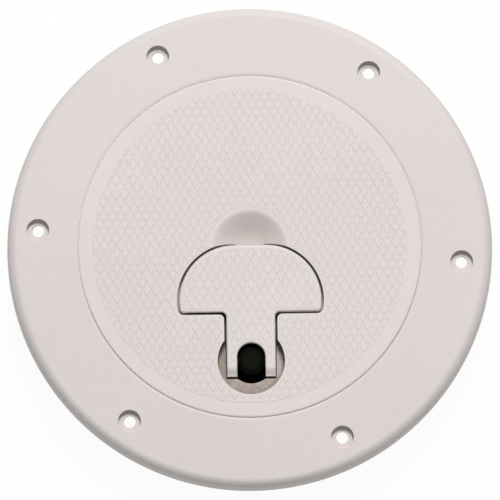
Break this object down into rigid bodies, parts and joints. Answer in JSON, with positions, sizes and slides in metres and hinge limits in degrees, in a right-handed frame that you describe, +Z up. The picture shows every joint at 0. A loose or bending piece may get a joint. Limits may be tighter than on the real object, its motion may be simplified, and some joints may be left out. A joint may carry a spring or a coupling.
{
  "type": "deck inspection plate",
  "caption": "Round deck inspection plate: flanged ring, patterned lid with finger scoop, and a flush fold-up handle that works a cam latch and pawl.",
  "frame": {"origin": "centre of the collar at its top end, in the plane of the deck on which the flange lies", "axes": "+Z up out of the deck, +Y from the latch spindle towards the finger scoop"},
  "size_m": [0.2032, 0.2032, 0.036],
  "materials": {
    "ring_plastic": "satin off-white moulded plastic",
    "lid_plastic": "satin off-white moulded plastic, fine diamond tread",
    "handle_plastic": "satin off-white moulded plastic",
    "black_acetal": "black, slightly glossy",
    "black_nylon": "black, matt",
    "seal_rubber": "matt black",
    "stainless": "satin stainless",
    "spring_steel": "bright drawn wire"
  },
  "bodies": {
    "ring": {"mounting_ring": "ring_plastic"},
    "lid": {"lid": "lid_plastic", "lid_seal": "seal_rubber", "cam_washer": "black_acetal", "latch_spring": "spring_steel"},
    "spindle": {"spindle": "black_acetal", "spindle_o_ring": "seal_rubber", "handle_pin": "stainless", "spring_washer": "stainless", "latch_pawl": "black_nylon", "pawl_washer": "stainless", "pawl_screw": "stainless"},
    "handle": {"handle": "handle_plastic"}
  },
  "joints": [
    {"name": "lid_turn", "type": "hinge", "parent": "ring", "child": "lid", "pos_m": [0, 0, 0.003], "axis": [0, 0, 1], "continuous": true},
    {"name": "spindle_draw", "type": "slide", "parent": "lid", "child": "spindle", "axis": [0, 0, 1], "range_m": [-0.002, 0], "deforming": ["latch_spring"]},
    {"name": "handle_lift", "type": "hinge", "parent": "spindle", "child": "handle", "pos_m": [0, -0.048, 0.0058], "axis": [1, 0, 0], "range_deg": [0, 90]}
  ],
  "couplings": [
    {"joint": "handle_lift", "follows": "spindle_draw", "rad_per_m": -785.4}
  ]
}
